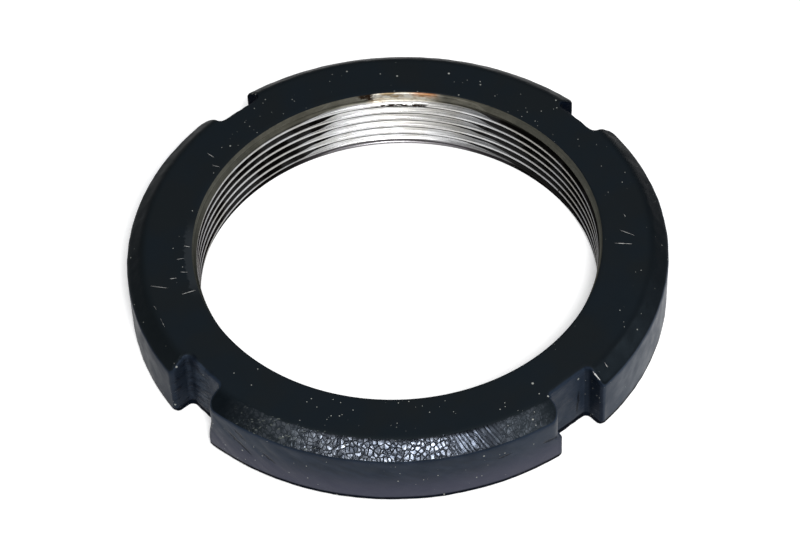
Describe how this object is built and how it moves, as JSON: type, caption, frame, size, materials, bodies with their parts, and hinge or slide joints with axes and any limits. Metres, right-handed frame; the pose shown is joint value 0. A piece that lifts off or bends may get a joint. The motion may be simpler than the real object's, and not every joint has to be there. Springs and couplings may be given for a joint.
{
  "type": "castle nut",
  "caption": "Round castle nut with a fine internal thread, notched around its rim for a hook spanner, chamfered at the rim and at both bore mouths.",
  "frame": {"origin": "on the bore axis, in the plane of the bearing face the nut lies on", "axes": "+Z along the bore axis, up out of the chamfered upper face; +X and +Y point through the middles of two neighbouring spanner slots"},
  "size_m": [0.1042, 0.1042, 0.015],
  "materials": {
    "steel": "blackened satin steel"
  },
  "bodies": {
    "root": {"castle_nut": "steel"}
  },
  "joints": []
}
